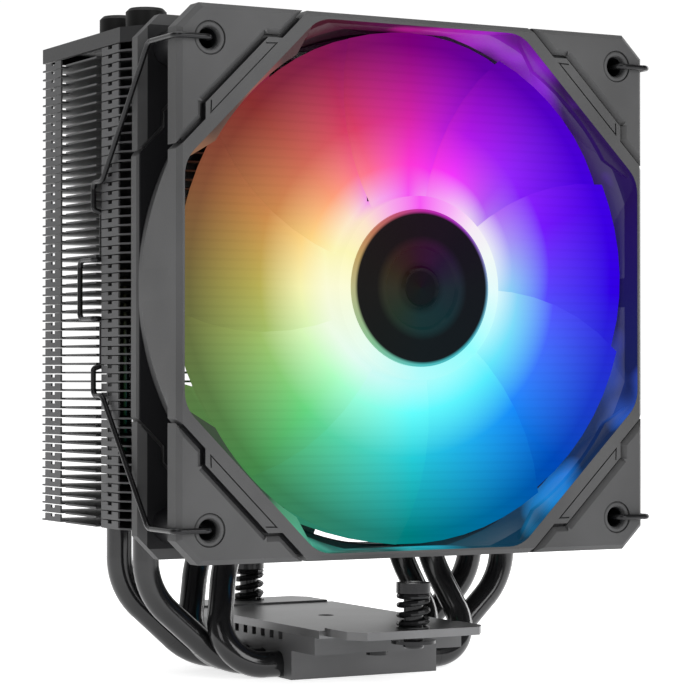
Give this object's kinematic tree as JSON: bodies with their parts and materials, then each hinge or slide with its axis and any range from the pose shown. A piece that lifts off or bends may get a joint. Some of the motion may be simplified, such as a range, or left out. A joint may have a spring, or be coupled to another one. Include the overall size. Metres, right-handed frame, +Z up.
{
  "type": "processor tower cooler",
  "caption": "Upright heat sink with a thin-fin stack on bent heat pipes, a sprung mounting bar and a lit axial fan on wire clips.",
  "frame": {"origin": "middle of the flat contact face at the bottom of the base", "axes": "+Z up away from the processor, -Y out of the front of the fan, +X to the right when the fan is faced"},
  "size_m": [0.1232, 0.093, 0.1533],
  "materials": {
    "base_metal": "satin black coating",
    "plate_metal": "satin black nickel",
    "steel": "satin",
    "pipe": "gloss black plating",
    "caps": "matt black",
    "fin_metal": "black coating, satin",
    "cover": "satin black coating",
    "frame_plastic": "fine matt grain",
    "pad_rubber": "matt",
    "bronze": "turned",
    "core_steel": "laminated, bare",
    "bobbin": "matt",
    "winding": "enamelled wire",
    "board": "solder mask",
    "diode": "moulded",
    "label": "blank label",
    "clear_plastic": "frosted, lit from the hub",
    "cap_plastic": "satin",
    "magnet": "bonded ferrite",
    "wire": "black plated",
    "dark_steel": "black plated"
  },
  "bodies": {
    "cooler": {"base_block": "base_metal", "upper_block": "base_metal", "mounting_bar": "plate_metal", "base_screws": "steel", "plate_screws": "dark_steel", "heat_pipe_wide_rear": "pipe", "heat_pipe_wide_front": "pipe", "heat_pipe_narrow_rear": "pipe", "heat_pipe_narrow_front": "pipe", "fins": "fin_metal", "top_cover": "cover", "pipe_caps": "caps", "fan_frame": "frame_plastic", "pad_front_top_left": "pad_rubber", "pad_front_top_right": "pad_rubber", "pad_front_bottom_left": "pad_rubber", "pad_front_bottom_right": "pad_rubber", "pad_rear_top_left": "pad_rubber", "pad_rear_top_right": "pad_rubber", "pad_rear_bottom_left": "pad_rubber", "pad_rear_bottom_right": "pad_rubber", "bearing_tube": "bronze", "sleeve_bearing": "bronze", "stator_core": "core_steel", "stator_bobbin": "bobbin", "stator_coils": "winding", "circuit_board": "board", "light_diodes": "diode", "rear_label": "label", "spring_front": "wire", "screw_washer_front": "dark_steel", "spring_rear": "wire", "screw_washer_rear": "dark_steel"},
    "rotor": {"impeller": "clear_plastic", "hub_cap": "cap_plastic", "rotor_yoke": "core_steel", "magnet_ring": "magnet", "fan_shaft": "core_steel", "shaft_ring": "bobbin"},
    "left_clip": {"clip_left": "wire"},
    "right_clip": {"clip_right": "wire"},
    "front_press": {"e_clip_front": "dark_steel"},
    "front_screw": {"spring_screw_front": "dark_steel"},
    "rear_press": {"e_clip_rear": "dark_steel"},
    "rear_screw": {"spring_screw_rear": "dark_steel"}
  },
  "joints": [
    {"name": "rotor_spin", "type": "hinge", "parent": "cooler", "child": "rotor", "pos_m": [0, -0.0453, 0.089], "axis": [0, 1, 0], "continuous": true},
    {"name": "left_clip_swing", "type": "hinge", "parent": "cooler", "child": "left_clip", "pos_m": [-0.0525, -0.0462, 0.089], "axis": [0, 0, 1], "range_deg": [0, 15], "stiffness_Nm_per_rad": 0.4},
    {"name": "right_clip_swing", "type": "hinge", "parent": "cooler", "child": "right_clip", "pos_m": [0.0525, -0.0462, 0.089], "axis": [0, 0, -1], "range_deg": [0, 15], "stiffness_Nm_per_rad": 0.4},
    {"name": "front_screw_press", "type": "slide", "parent": "cooler", "child": "front_press", "axis": [0, 0, -1], "range_m": [0, 0.0024], "stiffness_N_per_m": 3000, "springref_m": -0.0015, "deforming": ["spring_front"]},
    {"name": "front_screw_turn", "type": "hinge", "parent": "front_press", "child": "front_screw", "pos_m": [0, -0.0412, 0.02], "axis": [0, 0, -1], "continuous": true},
    {"name": "rear_screw_press", "type": "slide", "parent": "cooler", "child": "rear_press", "axis": [0, 0, -1], "range_m": [0, 0.0024], "stiffness_N_per_m": 3000, "springref_m": -0.0015, "deforming": ["spring_rear"]},
    {"name": "rear_screw_turn", "type": "hinge", "parent": "rear_press", "child": "rear_screw", "pos_m": [0, 0.0412, 0.02], "axis": [0, 0, -1], "continuous": true}
  ]
}
